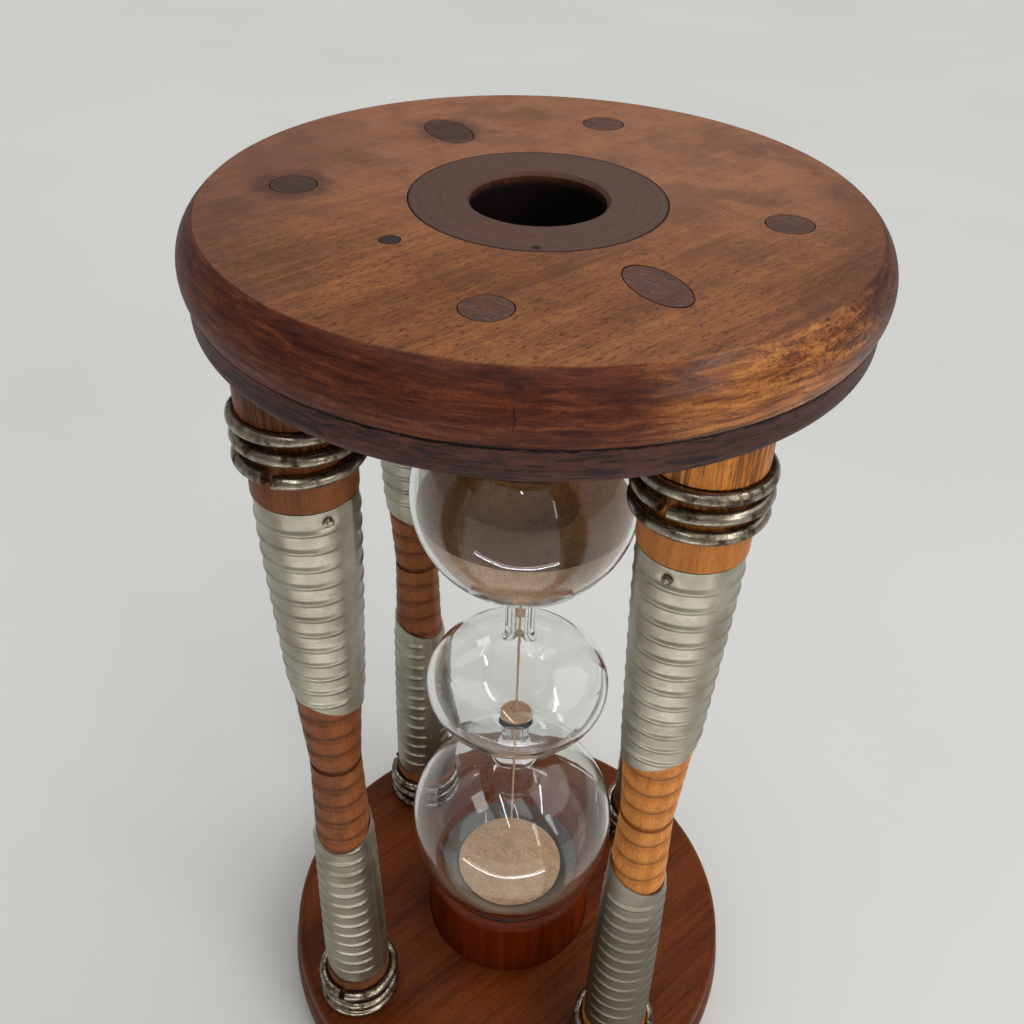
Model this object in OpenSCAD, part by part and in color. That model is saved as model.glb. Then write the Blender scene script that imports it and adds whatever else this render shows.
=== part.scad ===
// Hourglass built from textile-mill spool heads, weft pirns and a three-bulb glass vial.
// Millimetres, +Z up, origin at the centre of the face it stands on.

/* [Overall] */
// Height from the resting face to the top face (mm)
overall_height = 278; // [270:1:290]
// Diameter of the two spool heads (mm)
head_diameter = 150; // [146:1:160]

/* [Heads] */
// Thickness of each head's outer board (mm)
board_thickness = 14; // [13:0.1:15]
// Thickness of the backing ply glued to the board (mm)
backing_thickness = 8; // [7:0.1:9]
// Radius of the flat outer face, up to the crease where the edge begins (mm)
face_radius = 70.6; // [69:0.1:72]
// Radius of the convex edge in section (mm)
edge_arc_radius = 11; // [10:0.5:14]
// Radius of the backing ply's rounded inner edge (mm)
backing_edge_radius = 3.5; // [2:0.1:4]
// Diameter of the round head pegs (mm)
peg_diameter = 9.8; // [8:0.1:11]
// Distance of the round pegs from the axis (mm)
peg_circle_radius = 52; // [50:0.5:54]
// Dark open joint around hubs and pegs (mm)
joint_gap = 0.25; // [0.1:0.05:0.3]

/* [Hubs] */
// Diameter of the spool barrel ends (mm)
hub_diameter = 54.6; // [54:0.1:56]
// Diameter of the spindle bore (mm)
hub_bore_diameter = 29.2; // [27:0.1:29.5]
// Length of the lower hub, from the resting face (mm)
lower_hub_length = 45.5; // [45:0.5:47]
// Length of the upper hub, from the top face (mm)
upper_hub_length = 55; // [54:0.5:56]

/* [Posts] */
// Radius of the circle the posts stand on (mm)
post_circle_radius = 58.5; // [58:0.1:60]
// Azimuth of the first post, counter-clockwise from +X (degrees)
post_start_angle = 36; // [34:1:38]
// Height of the joint between the two quills of a post (mm)
post_joint_height = 137.5; // [136:0.5:139]
// Wood radius at the joined small ends (mm)
quill_small_radius = 6.8; // [6.6:0.1:7.4]
// Wood radius of the collar beside an upper quill's rings (mm)
upper_collar_radius = 11.7; // [11.5:0.1:12]
// Wood radius of the collar beside a lower quill's rings (mm)
lower_collar_radius = 9.8; // [9.6:0.1:10]
// Depth of each scalloped groove on the bare wood (mm)
groove_depth = 0.45; // [0.2:0.05:0.6]

/* [Rings and sleeves] */
// Wire diameter of the split steel rings (mm)
ring_wire_diameter = 3.1; // [2.8:0.1:3.2]
// Height from one ring to the next (mm)
ring_pitch = 4.7; // [4.6:0.1:5]
// Opening in each split ring (degrees)
ring_split_angle = 9; // [4:1:14]
// Thickness of the tin sleeves (mm)
tin_thickness = 0.5; // [0.4:0.05:0.6]
// Height from one sleeve rib to the next (mm)
rib_pitch = 5; // [4.8:0.1:5.2]
// How far the ribs stand out of the sleeve (mm)
rib_height = 0.3; // [0.2:0.05:0.5]

/* [Glass] */
// Outer radius of the bottom bulb (mm)
bottom_bulb_radius = 32.4; // [32:0.1:32.6]
// Outer radius of the top bulb (mm)
top_bulb_radius = 29.5; // [29:0.1:29.6]
// Outer radius of the flattened middle bulb (mm)
middle_bulb_radius = 26.5; // [26:0.1:27]
// Half the height of the middle bulb (mm)
middle_bulb_half_height = 15.4; // [15:0.1:16]
// Height of the bottom bulb's centre (mm)
bottom_bulb_height = 69.2; // [69:0.1:69.5]
// Height of the middle bulb's centre (mm)
middle_bulb_height = 133; // [132:0.5:134]
// Height of the top bulb's centre (mm)
top_bulb_height = 201; // [200.5:0.1:201.5]
// Wall thickness of the bulbs (mm)
glass_wall = 1.2; // [1:0.1:1.4]
// Outer radius of the two necks (mm)
neck_radius = 4.2; // [4:0.1:4.5]
// Radius of the fine hole through each neck (mm)
orifice_radius = 1.6; // [1.4:0.1:1.8]

/* [Sand] */
// Height of the sand against the glass in the top bulb (mm)
top_sand_level = 199; // [196:0.5:200]
// Height of the sand against the glass in the bottom bulb (mm)
bottom_sand_level = 43.5; // [43:0.5:46]

/* [Hidden] */
$fn = 96;
overlap = 1;

WOOD = [0.55, 0.33, 0.20];
DARK_WOOD = [0.34, 0.17, 0.11];
QUILL_WOOD = [0.66, 0.40, 0.20];
STEEL = [0.42, 0.41, 0.39];
TIN = [0.66, 0.65, 0.61];
GLASS = [0.86, 0.93, 0.90, 0.35];
SAND = [0.76, 0.64, 0.52];
FELT = [0.20, 0.17, 0.15];

head_radius = head_diameter / 2;
head_thickness = board_thickness + backing_thickness;
edge_centre_radius = head_radius - edge_arc_radius;
edge_centre_depth = sqrt(pow(edge_arc_radius, 2) - pow(face_radius - edge_centre_radius, 2));
seam_radius = edge_centre_radius
    + sqrt(pow(edge_arc_radius, 2) - pow(board_thickness - edge_centre_depth, 2));
seam_round = 0.6;
hub_radius = hub_diameter / 2;
hub_bore_radius = hub_bore_diameter / 2;
hub_mouth_chamfer = 0.8;
hub_rim_round = 1;

// Pegs were driven by hand: their azimuths in degrees, counter-clockwise from +X.
PEG_ANGLES = [73, 178, 261, 350];
HUB_PEG_ANGLES = [119, 299];
peg_radius = peg_diameter / 2;
peg_end_cover = 2;
peg_length = head_thickness - peg_end_cover;
hub_peg_mouth_radius = 45.7;
hub_peg_tilt = 57;
hub_peg_tip_radius = 18.5;
plug_angle = 221;
plug_circle_radius = 37.4;
plug_radius = 2;
plug_depth = 6;

BACK_RIGHT = 0;
BACK_LEFT = 1;
FRONT_LEFT = 2;
FRONT_RIGHT = 3;
POSTS = [BACK_RIGHT, BACK_LEFT, FRONT_LEFT, FRONT_RIGHT];
post_step = 90;

upper_butt_flare = 0.7;
lower_butt_flare = 0.1;

// How far from its head each sleeve's snipped end lies, in post order.
UPPER_SLEEVE_ENDS = [95, 99.6, 92.5, 91.7];
LOWER_SLEEVE_ENDS = [90, 88.7, 86.5, 90.5];

// One quill, measured from the head it stands on: [length, first ring, sleeve start,
// end of the shortest sleeve, collar radius, butt radius, rib count]
upper_quill_length = overall_height - head_thickness - post_joint_height;
lower_quill_length = post_joint_height - head_thickness;
UPPER = [upper_quill_length, 10.6, 30, min(UPPER_SLEEVE_ENDS),
    upper_collar_radius, upper_collar_radius + upper_butt_flare, 12];
LOWER = [lower_quill_length, 2.2, 17.7, min(LOWER_SLEEVE_ENDS),
    lower_collar_radius, lower_collar_radius + lower_butt_flare, 13];

function quill_length(q) = q[0];
function first_ring(q) = q[1];
function sleeve_start(q) = q[2];
function shortest_sleeve(q) = q[3];
function collar_radius(q) = q[4];
function butt_radius(q) = q[5];
function rib_count(q) = q[6];

ring_count = 3;
ring_turn = 110;
// The ring nearest the head opens towards the vial.
ring_turned_in = 180;
ring_wire_radius = ring_wire_diameter / 2;
ring_floor_inset = 0.5;
ring_floor_gap = 0.05;
ring_seat_slope = 0.5;
shoulder_slope = 0.5;
shoulder_gap = 0.1;
sleeve_step = 0.45;
sleeve_fit_gap = 0.05;
sleeve_cut_angle = 24;
sleeve_stations = 12;
taper_power = 1.5;
plain_tin_length = 5.2;
rib_radius = 1.4;
groove_pitch = 7;
groove_round = 3;
joint_groove_radius = 0.9;
quill_bore_radius = 3.3;
dowel_fit_gap = 0.05;
joint_dowel_length = 40;
end_dowel_in_head = 14;
end_dowel_in_quill = 24;

tack_head_radius = 1.2;
tack_head_height = 0.5;
tack_shank_radius = 0.6;
tack_length = 5;
tack_hole_gap = 0.05;
tack_seat_gap = 0.06;
tack_drop = 3;
// Direction each upper sleeve's tack faces, degrees counter-clockwise from +X, in post order.
TACK_ANGLES = [40, 120, 305, 240];
// Direction of the short side of each sleeve's slanted end, in post order.
UPPER_CUT_ANGLES = [60, 200, 180, 10];
LOWER_CUT_ANGLES = [60, 340, 265, 350];

seat_gap = 0.3;
seat_thickness = 1.5;
seat_inner_radius = 15.5;
seat_rim_inset = 1.4;
// Room left between the narrow part of each bore and the glass.
bore_end_gap = 0.4;
bottom_dish_radius = bottom_bulb_radius + seat_gap + seat_thickness;
top_dish_radius = top_bulb_radius + seat_gap + seat_thickness;

outer_fillet = 5;
inner_fillet = 7;
// How far a flare's round bites into its bulb, so the two arcs cross instead of just touching.
flare_bite = 0.02;
lens_edge_radius = 11;
seal_tip_radius = 3;
sand_gap = 0.1;
stream_radius = 0.8;
stream_gap = 0.1;
crater_radius = 14;
crater_depth = 8;
wall_slope_rise = 1.2;
heap_rise = 6;
puddle_level = 118.9;
puddle_radius = 9;
puddle_dip = 0.6;
lower_neck_height = (bottom_bulb_height + bottom_bulb_radius
    + middle_bulb_height - middle_bulb_half_height) / 2;
upper_neck_height = (top_bulb_height - top_bulb_radius
    + middle_bulb_height + middle_bulb_half_height) / 2;
heap_radius = sqrt(pow(bottom_bulb_radius - glass_wall, 2)
    - pow(bottom_bulb_height - bottom_sand_level, 2));

// ---- Placement ----

// Turns a part built on the resting face over, so it hangs from the top face.
module from_top() {
    translate([0, 0, overall_height])
        mirror([0, 0, 1])
            children();
}

function post_angle(post) = post_start_angle + post_step * post;

module at_post(post) {
    rotate(post_angle(post))
        translate([post_circle_radius, 0, 0])
            rotate(-post_angle(post))
                children();
}

// ---- Heads, built with the outer face at z = 0 ----

// What a corner of the given round loses, for the corner at [radius, 0].
module corner_waste(radius, round) {
    difference() {
        translate([radius - round, -overlap])
            square([round + overlap, round + overlap]);
        translate([radius - round, round])
            circle(round);
    }
}

// The outer board: a flat face, a crease, then a convex edge that is widest below the crease.
module board_disc() {
    rotate_extrude()
        intersection() {
            translate([hub_radius + joint_gap, 0])
                square([head_radius, board_thickness]);
            union() {
                square([edge_centre_radius, board_thickness]);
                translate([edge_centre_radius, edge_centre_depth])
                    circle(edge_arc_radius);
            }
        }
}

// The backing ply, as wide as the board is at the seam, with both outer corners rounded.
module backing_disc() {
    translate([0, 0, board_thickness])
        rotate_extrude()
            difference() {
                translate([hub_radius + joint_gap, 0])
                    square([seam_radius - hub_radius - joint_gap, backing_thickness]);
                corner_waste(seam_radius, seam_round);
                translate([0, backing_thickness])
                    mirror([0, 1])
                        corner_waste(seam_radius, backing_edge_radius);
            }
}

module peg_solids(gap) {
    for (angle = PEG_ANGLES)
        rotate(angle)
            translate([peg_circle_radius, 0, 0])
                cylinder(r = peg_radius + gap, h = peg_length + gap);
}

// Pegs driven aslant from the outer face inwards, into the wall of the hub.
module hub_peg_solids(gap) {
    reach = (hub_peg_mouth_radius - hub_peg_tip_radius) / sin(hub_peg_tilt);
    for (angle = HUB_PEG_ANGLES)
        rotate(angle)
            intersection() {
                translate([hub_peg_mouth_radius, 0, 0])
                    rotate([0, -hub_peg_tilt, 0])
                        translate([0, 0, -2 * peg_diameter])
                            cylinder(r = peg_radius + gap, h = reach + 2 * peg_diameter + gap);
                translate([0, -peg_diameter, -gap])
                    cube([head_radius, 2 * peg_diameter, head_thickness + 2 * gap]);
            }
}

module end_dowel_holes() {
    for (post = POSTS)
        at_post(post)
            translate([0, 0, head_thickness - end_dowel_in_head])
                cylinder(r = quill_bore_radius, h = end_dowel_in_head + overlap);
}

module head_cuts() {
    peg_solids(joint_gap);
    hub_peg_solids(joint_gap);
    end_dowel_holes();
}

module head_board() {
    difference() {
        board_disc();
        head_cuts();
    }
}

module head_backing() {
    difference() {
        backing_disc();
        head_cuts();
    }
}

// The barrel end: flush outside, dished inside to take the end of the glass, with the bore
// opened out a little where it would come up against the glass.
module hub(length, dish_radius, dish_height, bore_end) {
    difference() {
        rotate_extrude()
            difference() {
                translate([hub_bore_radius, 0])
                    square([hub_radius - hub_bore_radius, length]);
                translate([0, length])
                    mirror([0, 1])
                        corner_waste(hub_radius, hub_rim_round);
                polygon([
                    [hub_bore_radius - overlap, -overlap],
                    [hub_bore_radius + hub_mouth_chamfer + overlap, -overlap],
                    [hub_bore_radius - overlap, hub_mouth_chamfer + overlap]
                ]);
                translate([0, bore_end])
                    square([seat_inner_radius, length]);
            }
        translate([0, 0, dish_height])
            sphere(dish_radius);
        hub_peg_solids(joint_gap);
    }
}

// Felt ring lining a hub's dish, with room for the glass to turn on it.
module seat_felt(length, dish_radius, dish_height) {
    mouth_radius = sqrt(pow(dish_radius, 2) - pow(dish_height - length, 2));
    rotate_extrude()
        intersection() {
            difference() {
                translate([0, dish_height])
                    circle(dish_radius);
                translate([0, dish_height])
                    circle(dish_radius - seat_thickness);
            }
            translate([seat_inner_radius, 0])
                square([mouth_radius - seat_rim_inset - seat_inner_radius, length]);
        }
}

module upper_head_board() {
    color(WOOD)
        difference() {
            from_top() head_board();
            from_top() plug_solid(joint_gap);
        }
}

module upper_head_backing() {
    color(DARK_WOOD) from_top() head_backing();
}

module upper_hub() {
    color(DARK_WOOD)
        from_top()
            hub(upper_hub_length, top_dish_radius, overall_height - top_bulb_height,
                overall_height - top_bulb_height - top_bulb_radius - bore_end_gap);
}

module upper_head_pegs() {
    color(DARK_WOOD) from_top() peg_solids(0);
}

module upper_hub_pegs() {
    color(DARK_WOOD) from_top() hub_peg_solids(0);
}

module plug_solid(gap) {
    rotate(plug_angle)
        translate([plug_circle_radius, 0, 0])
            cylinder(r = plug_radius + gap, h = plug_depth + gap);
}

module upper_head_plug() {
    color(DARK_WOOD) from_top() plug_solid(0);
}

module lower_head_board() {
    color(WOOD) head_board();
}

module lower_head_backing() {
    color(WOOD) head_backing();
}

module lower_hub() {
    color(DARK_WOOD)
        hub(lower_hub_length, bottom_dish_radius, bottom_bulb_height,
            bottom_bulb_height - bottom_bulb_radius - seal_tip_radius - bore_end_gap);
}

module lower_head_pegs() {
    color(DARK_WOOD) peg_solids(0);
}

module lower_hub_pegs() {
    color(DARK_WOOD) hub_peg_solids(0);
}

module upper_seat_felt() {
    color(FELT)
        from_top()
            seat_felt(upper_hub_length, top_dish_radius, overall_height - top_bulb_height);
}

module lower_seat_felt() {
    color(FELT) seat_felt(lower_hub_length, bottom_dish_radius, bottom_bulb_height);
}

// ---- Posts: a quill is built from z = 0 at its head to its small end ----

// Share of the way from the sleeve's start to the quill's small end.
function taper_share(q, s) = (s - sleeve_start(q)) / (quill_length(q) - sleeve_start(q));

// Wood radius under the sleeve and on the bare end, swelling like a wound cop.
function wood_radius(q, s) = quill_small_radius
    + (collar_radius(q) - sleeve_step - tin_thickness - quill_small_radius)
    * (1 - pow(max(0, taper_share(q, s)), taper_power));

function tin_radius(q, s) = wood_radius(q, s) + sleeve_fit_gap + tin_thickness;

function ring_centre(q, index) = first_ring(q) + index * ring_pitch;

function ring_floor(q) = collar_radius(q) - ring_floor_inset;

// The blank side of a quill, butt first, as [radius, height] points.
function quill_side(q) = let (last_ring = ring_centre(q, ring_count - 1)) concat(
    [
        [butt_radius(q), 0],
        [butt_radius(q), first_ring(q) - ring_wire_radius - ring_seat_slope],
        [ring_floor(q), first_ring(q) - ring_wire_radius],
        [ring_floor(q), last_ring + ring_wire_radius],
        [collar_radius(q), last_ring + ring_wire_radius + ring_seat_slope],
        [collar_radius(q), sleeve_start(q) - shoulder_gap - shoulder_slope],
        [wood_radius(q, sleeve_start(q)), sleeve_start(q) - shoulder_gap]
    ],
    [for (i = [1 : sleeve_stations])
        let (s = sleeve_start(q) + i * (quill_length(q) - sleeve_start(q)) / sleeve_stations)
        [wood_radius(q, s), s]]
);

// Shallow round grooves on the bare wood between the sleeve and the small end.
module scallops(q) {
    bare_length = quill_length(q) - shortest_sleeve(q);
    groove_count = floor((bare_length - joint_groove_radius) / groove_pitch);
    for (i = [1 : groove_count])
        let (s = quill_length(q) - i * groove_pitch)
            translate([wood_radius(q, s) + groove_round - groove_depth, s])
                circle(groove_round);
}

module quill_solid(q) {
    rotate_extrude()
        difference() {
            polygon(concat(quill_side(q), [[0, quill_length(q)], [0, 0]]));
            translate([0, -overlap])
                square([quill_bore_radius, quill_length(q) + 2 * overlap]);
            scallops(q);
            translate([quill_small_radius, quill_length(q)])
                circle(joint_groove_radius);
        }
}

// Everything past the slanted line where the sleeve was snipped off.
module snipped_end(end, cut_angle) {
    translate([0, 0, end])
        rotate(cut_angle)
            rotate([0, sleeve_cut_angle, 0])
                translate([-head_radius, -head_radius, 0])
                    cube([head_diameter, head_diameter, head_diameter]);
}

module sleeve_solid(q, end, cut_angle) {
    tin_end = quill_length(q) - groove_pitch;
    step = (tin_end - sleeve_start(q)) / sleeve_stations;
    stations = [for (i = [0 : sleeve_stations]) sleeve_start(q) + i * step];
    first_rib = sleeve_start(q) + plain_tin_length;
    difference() {
        rotate_extrude()
            difference() {
                union() {
                    polygon(concat(
                        [for (s = stations) [tin_radius(q, s), s]],
                        [[0, tin_end], [0, sleeve_start(q)]]
                    ));
                    for (i = [0 : rib_count(q) - 1])
                        let (s = first_rib + i * rib_pitch)
                            translate([tin_radius(q, s) + rib_height - rib_radius, s])
                                circle(rib_radius);
                }
                polygon(concat(
                    [[0, sleeve_start(q) - overlap]],
                    [[wood_radius(q, sleeve_start(q)) + sleeve_fit_gap, sleeve_start(q) - overlap]],
                    [for (s = stations) [wood_radius(q, s) + sleeve_fit_gap, s]],
                    [[wood_radius(q, tin_end) + sleeve_fit_gap, tin_end + overlap]],
                    [[0, tin_end + overlap]]
                ));
            }
        snipped_end(end, cut_angle);
    }
}

// Three spring rings, their openings turned away from each other.
module ring_solids(q, opening_angle) {
    major_radius = ring_floor(q) + ring_floor_gap + ring_wire_radius;
    for (i = [0 : ring_count - 1])
        translate([0, 0, ring_centre(q, i)])
            rotate(opening_angle + i * ring_turn)
                rotate_extrude(angle = 360 - ring_split_angle)
                    translate([major_radius, 0])
                        circle(ring_wire_radius);
}

// A tack standing radially in the sleeve, facing along +X before it is turned.
module tack_solid(gap) {
    seat = tin_radius(UPPER, sleeve_start(UPPER) + tack_drop) + tack_seat_gap;
    translate([seat - tack_length, 0, sleeve_start(UPPER) + tack_drop])
        rotate([0, 90, 0])
            cylinder(r = tack_shank_radius + gap, h = tack_length + gap);
    if (gap == 0)
        translate([seat, 0, sleeve_start(UPPER) + tack_drop])
            rotate([0, 90, 0])
                cylinder(r1 = tack_head_radius, r2 = tack_head_radius / 2, h = tack_head_height);
}

module upper_quill(post) {
    color(QUILL_WOOD)
        at_post(post)
            translate([0, 0, overall_height - head_thickness])
                mirror([0, 0, 1])
                    difference() {
                        quill_solid(UPPER);
                        rotate(TACK_ANGLES[post]) tack_solid(tack_hole_gap);
                    }
}

module lower_quill(post) {
    color(QUILL_WOOD)
        at_post(post)
            translate([0, 0, head_thickness])
                quill_solid(LOWER);
}

module upper_sleeve(post) {
    color(TIN)
        at_post(post)
            translate([0, 0, overall_height - head_thickness])
                mirror([0, 0, 1])
                    difference() {
                        sleeve_solid(UPPER, UPPER_SLEEVE_ENDS[post], UPPER_CUT_ANGLES[post]);
                        rotate(TACK_ANGLES[post]) tack_solid(tack_hole_gap);
                    }
}

module lower_sleeve(post) {
    color(TIN)
        at_post(post)
            translate([0, 0, head_thickness])
                sleeve_solid(LOWER, LOWER_SLEEVE_ENDS[post], LOWER_CUT_ANGLES[post]);
}

module upper_rings(post) {
    color(STEEL)
        at_post(post)
            translate([0, 0, overall_height - head_thickness])
                mirror([0, 0, 1])
                    ring_solids(UPPER, post_angle(post) + ring_turned_in);
}

module lower_rings(post) {
    color(STEEL)
        at_post(post)
            translate([0, 0, head_thickness])
                ring_solids(LOWER, post_angle(post) + ring_turned_in);
}

module front_left_upper_quill() upper_quill(FRONT_LEFT);
module front_left_lower_quill() lower_quill(FRONT_LEFT);
module front_left_upper_sleeve() upper_sleeve(FRONT_LEFT);
module front_left_lower_sleeve() lower_sleeve(FRONT_LEFT);
module front_left_upper_rings() upper_rings(FRONT_LEFT);
module front_left_lower_rings() lower_rings(FRONT_LEFT);

module front_right_upper_quill() upper_quill(FRONT_RIGHT);
module front_right_lower_quill() lower_quill(FRONT_RIGHT);
module front_right_upper_sleeve() upper_sleeve(FRONT_RIGHT);
module front_right_lower_sleeve() lower_sleeve(FRONT_RIGHT);
module front_right_upper_rings() upper_rings(FRONT_RIGHT);
module front_right_lower_rings() lower_rings(FRONT_RIGHT);

module back_left_upper_quill() upper_quill(BACK_LEFT);
module back_left_lower_quill() lower_quill(BACK_LEFT);
module back_left_upper_sleeve() upper_sleeve(BACK_LEFT);
module back_left_lower_sleeve() lower_sleeve(BACK_LEFT);
module back_left_upper_rings() upper_rings(BACK_LEFT);
module back_left_lower_rings() lower_rings(BACK_LEFT);

module back_right_upper_quill() upper_quill(BACK_RIGHT);
module back_right_lower_quill() lower_quill(BACK_RIGHT);
module back_right_upper_sleeve() upper_sleeve(BACK_RIGHT);
module back_right_lower_sleeve() lower_sleeve(BACK_RIGHT);
module back_right_upper_rings() upper_rings(BACK_RIGHT);
module back_right_lower_rings() lower_rings(BACK_RIGHT);

module sleeve_tacks() {
    color(STEEL)
        for (post = POSTS)
            at_post(post)
                translate([0, 0, overall_height - head_thickness])
                    mirror([0, 0, 1])
                        rotate(TACK_ANGLES[post])
                            tack_solid(0);
}

// Dowels hidden in the bores of the quills.
module post_dowels(low, high) {
    color(WOOD)
        for (post = POSTS)
            at_post(post)
                translate([0, 0, low])
                    cylinder(r = quill_bore_radius - dowel_fit_gap, h = high - low);
}

module joint_dowels() {
    post_dowels(post_joint_height - joint_dowel_length / 2,
        post_joint_height + joint_dowel_length / 2);
}

module upper_end_dowels() {
    inner_face = overall_height - head_thickness;
    post_dowels(inner_face - end_dowel_in_quill, inner_face + end_dowel_in_head - dowel_fit_gap);
}

module lower_end_dowels() {
    post_dowels(head_thickness - end_dowel_in_head + dowel_fit_gap,
        head_thickness + end_dowel_in_quill);
}

// ---- Glass and sand: half profiles turned about the axis ----

// Fills the corner between a ball at the origin and a neck rising from it.
module neck_flare(ball_radius, neck, fillet) {
    reach = ball_radius + fillet - flare_bite;
    centre = [neck + fillet, sqrt(pow(reach, 2) - pow(neck + fillet, 2))];
    touch = centre * ball_radius / reach;
    difference() {
        polygon([[0, touch[1]], touch, centre, [0, centre[1]]]);
        translate(centre)
            circle(fillet);
    }
}

// Distance from the middle bulb's centre back to the centre of each flat cap's ball.
function lens_cap_offset(half_height, flat_radius, edge_radius) =
    (pow(flat_radius, 2) - pow(half_height - edge_radius, 2)) / (2 * (half_height - edge_radius));

// A flattened bulb: a round rim with a shallow cap above and below.
module lens_profile(inset) {
    flat_radius = middle_bulb_radius - lens_edge_radius;
    edge_radius = lens_edge_radius - inset;
    offset_down = lens_cap_offset(middle_bulb_half_height, flat_radius, lens_edge_radius);
    cap_radius = middle_bulb_half_height + offset_down - inset;
    corner_share = cap_radius / (cap_radius - edge_radius);
    for (direction = [-1, 1]) {
        intersection() {
            translate([0, middle_bulb_height - direction * offset_down])
                circle(cap_radius);
            polygon([
                [0, middle_bulb_height],
                [corner_share * flat_radius,
                    middle_bulb_height + direction * (corner_share - 1) * offset_down],
                [0, middle_bulb_height + direction * 2 * middle_bulb_half_height]
            ]);
        }
    }
    translate([flat_radius, middle_bulb_height])
        circle(edge_radius);
    translate([0, middle_bulb_height - edge_radius])
        square([flat_radius, 2 * edge_radius]);
}

// The three bulbs and two necks in one; used for the outside and for the hollow.
module vial_profile(inset, neck, fillet) {
    lens_offset = lens_cap_offset(middle_bulb_half_height,
        middle_bulb_radius - lens_edge_radius, lens_edge_radius);
    lens_ball = middle_bulb_half_height + lens_offset - inset;
    intersection() {
        square([head_radius, overall_height]);
        union() {
            translate([0, bottom_bulb_height])
                circle(bottom_bulb_radius - inset);
            lens_profile(inset);
            translate([0, top_bulb_height])
                circle(top_bulb_radius - inset);
            translate([0, bottom_bulb_height])
                square([neck, top_bulb_height - bottom_bulb_height]);
            translate([0, bottom_bulb_height])
                neck_flare(bottom_bulb_radius - inset, neck, fillet);
            translate([0, middle_bulb_height + lens_offset])
                mirror([0, 1])
                    neck_flare(lens_ball, neck, fillet);
            translate([0, middle_bulb_height - lens_offset])
                neck_flare(lens_ball, neck, fillet);
            translate([0, top_bulb_height])
                mirror([0, 1])
                    neck_flare(top_bulb_radius - inset, neck, fillet);
        }
    }
}

module hollow_profile(gap) {
    vial_profile(glass_wall + gap, orifice_radius - gap, inner_fillet + gap);
}

module glass_vial() {
    color(GLASS)
        rotate_extrude()
            difference() {
                union() {
                    vial_profile(0, neck_radius, outer_fillet);
                    intersection() {
                        translate([0, bottom_bulb_height - bottom_bulb_radius])
                            circle(seal_tip_radius);
                        square([seal_tip_radius, bottom_bulb_height - bottom_bulb_radius + overlap]);
                    }
                }
                hollow_profile(0);
            }
}

// Sand in the top bulb, drawn down into a funnel over the neck.
module sand_top() {
    color(SAND)
        rotate_extrude()
            intersection() {
                hollow_profile(sand_gap);
                polygon([
                    [0, upper_neck_height],
                    [top_bulb_radius, upper_neck_height],
                    [top_bulb_radius, top_sand_level],
                    [crater_radius, top_sand_level - wall_slope_rise],
                    [0, top_sand_level - wall_slope_rise - crater_depth]
                ]);
            }
}

// The little sand left over the lower neck.
module sand_middle() {
    color(SAND)
        rotate_extrude()
            intersection() {
                hollow_profile(sand_gap);
                polygon([
                    [0, lower_neck_height],
                    [middle_bulb_radius, lower_neck_height],
                    [middle_bulb_radius, puddle_level],
                    [puddle_radius, puddle_level],
                    [0, puddle_level - puddle_dip]
                ]);
            }
}

module sand_thread(low, high) {
    translate([0, 0, low + stream_gap])
        cylinder(r = stream_radius, h = high - low - 2 * stream_gap);
}

module sand_stream() {
    color(SAND) {
        sand_thread(puddle_level - puddle_dip, upper_neck_height);
        sand_thread(bottom_sand_level + heap_rise, lower_neck_height);
    }
}

module sand_bottom() {
    color(SAND)
        rotate_extrude()
            intersection() {
                hollow_profile(sand_gap);
                polygon([
                    [0, 0],
                    [heap_radius + overlap, 0],
                    [heap_radius + overlap, bottom_sand_level],
                    [heap_radius, bottom_sand_level],
                    [0, bottom_sand_level + heap_rise]
                ]);
            }
}

upper_head_board();
upper_head_backing();
upper_hub();
upper_head_pegs();
upper_hub_pegs();
upper_head_plug();
lower_head_board();
lower_head_backing();
lower_hub();
lower_head_pegs();
lower_hub_pegs();
upper_seat_felt();
lower_seat_felt();
glass_vial();
sand_top();
sand_middle();
sand_stream();
sand_bottom();
front_left_upper_quill();
front_left_lower_quill();
front_left_upper_sleeve();
front_left_lower_sleeve();
front_left_upper_rings();
front_left_lower_rings();
front_right_upper_quill();
front_right_lower_quill();
front_right_upper_sleeve();
front_right_lower_sleeve();
front_right_upper_rings();
front_right_lower_rings();
back_left_upper_quill();
back_left_lower_quill();
back_left_upper_sleeve();
back_left_lower_sleeve();
back_left_upper_rings();
back_left_lower_rings();
back_right_upper_quill();
back_right_lower_quill();
back_right_upper_sleeve();
back_right_lower_sleeve();
back_right_upper_rings();
back_right_lower_rings();
sleeve_tacks();
joint_dowels();
upper_end_dowels();
lower_end_dowels();
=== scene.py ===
import math

import bmesh
import bpy
import numpy as np
from mathutils import Matrix, Vector
from mathutils.bvhtree import BVHTree


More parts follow.
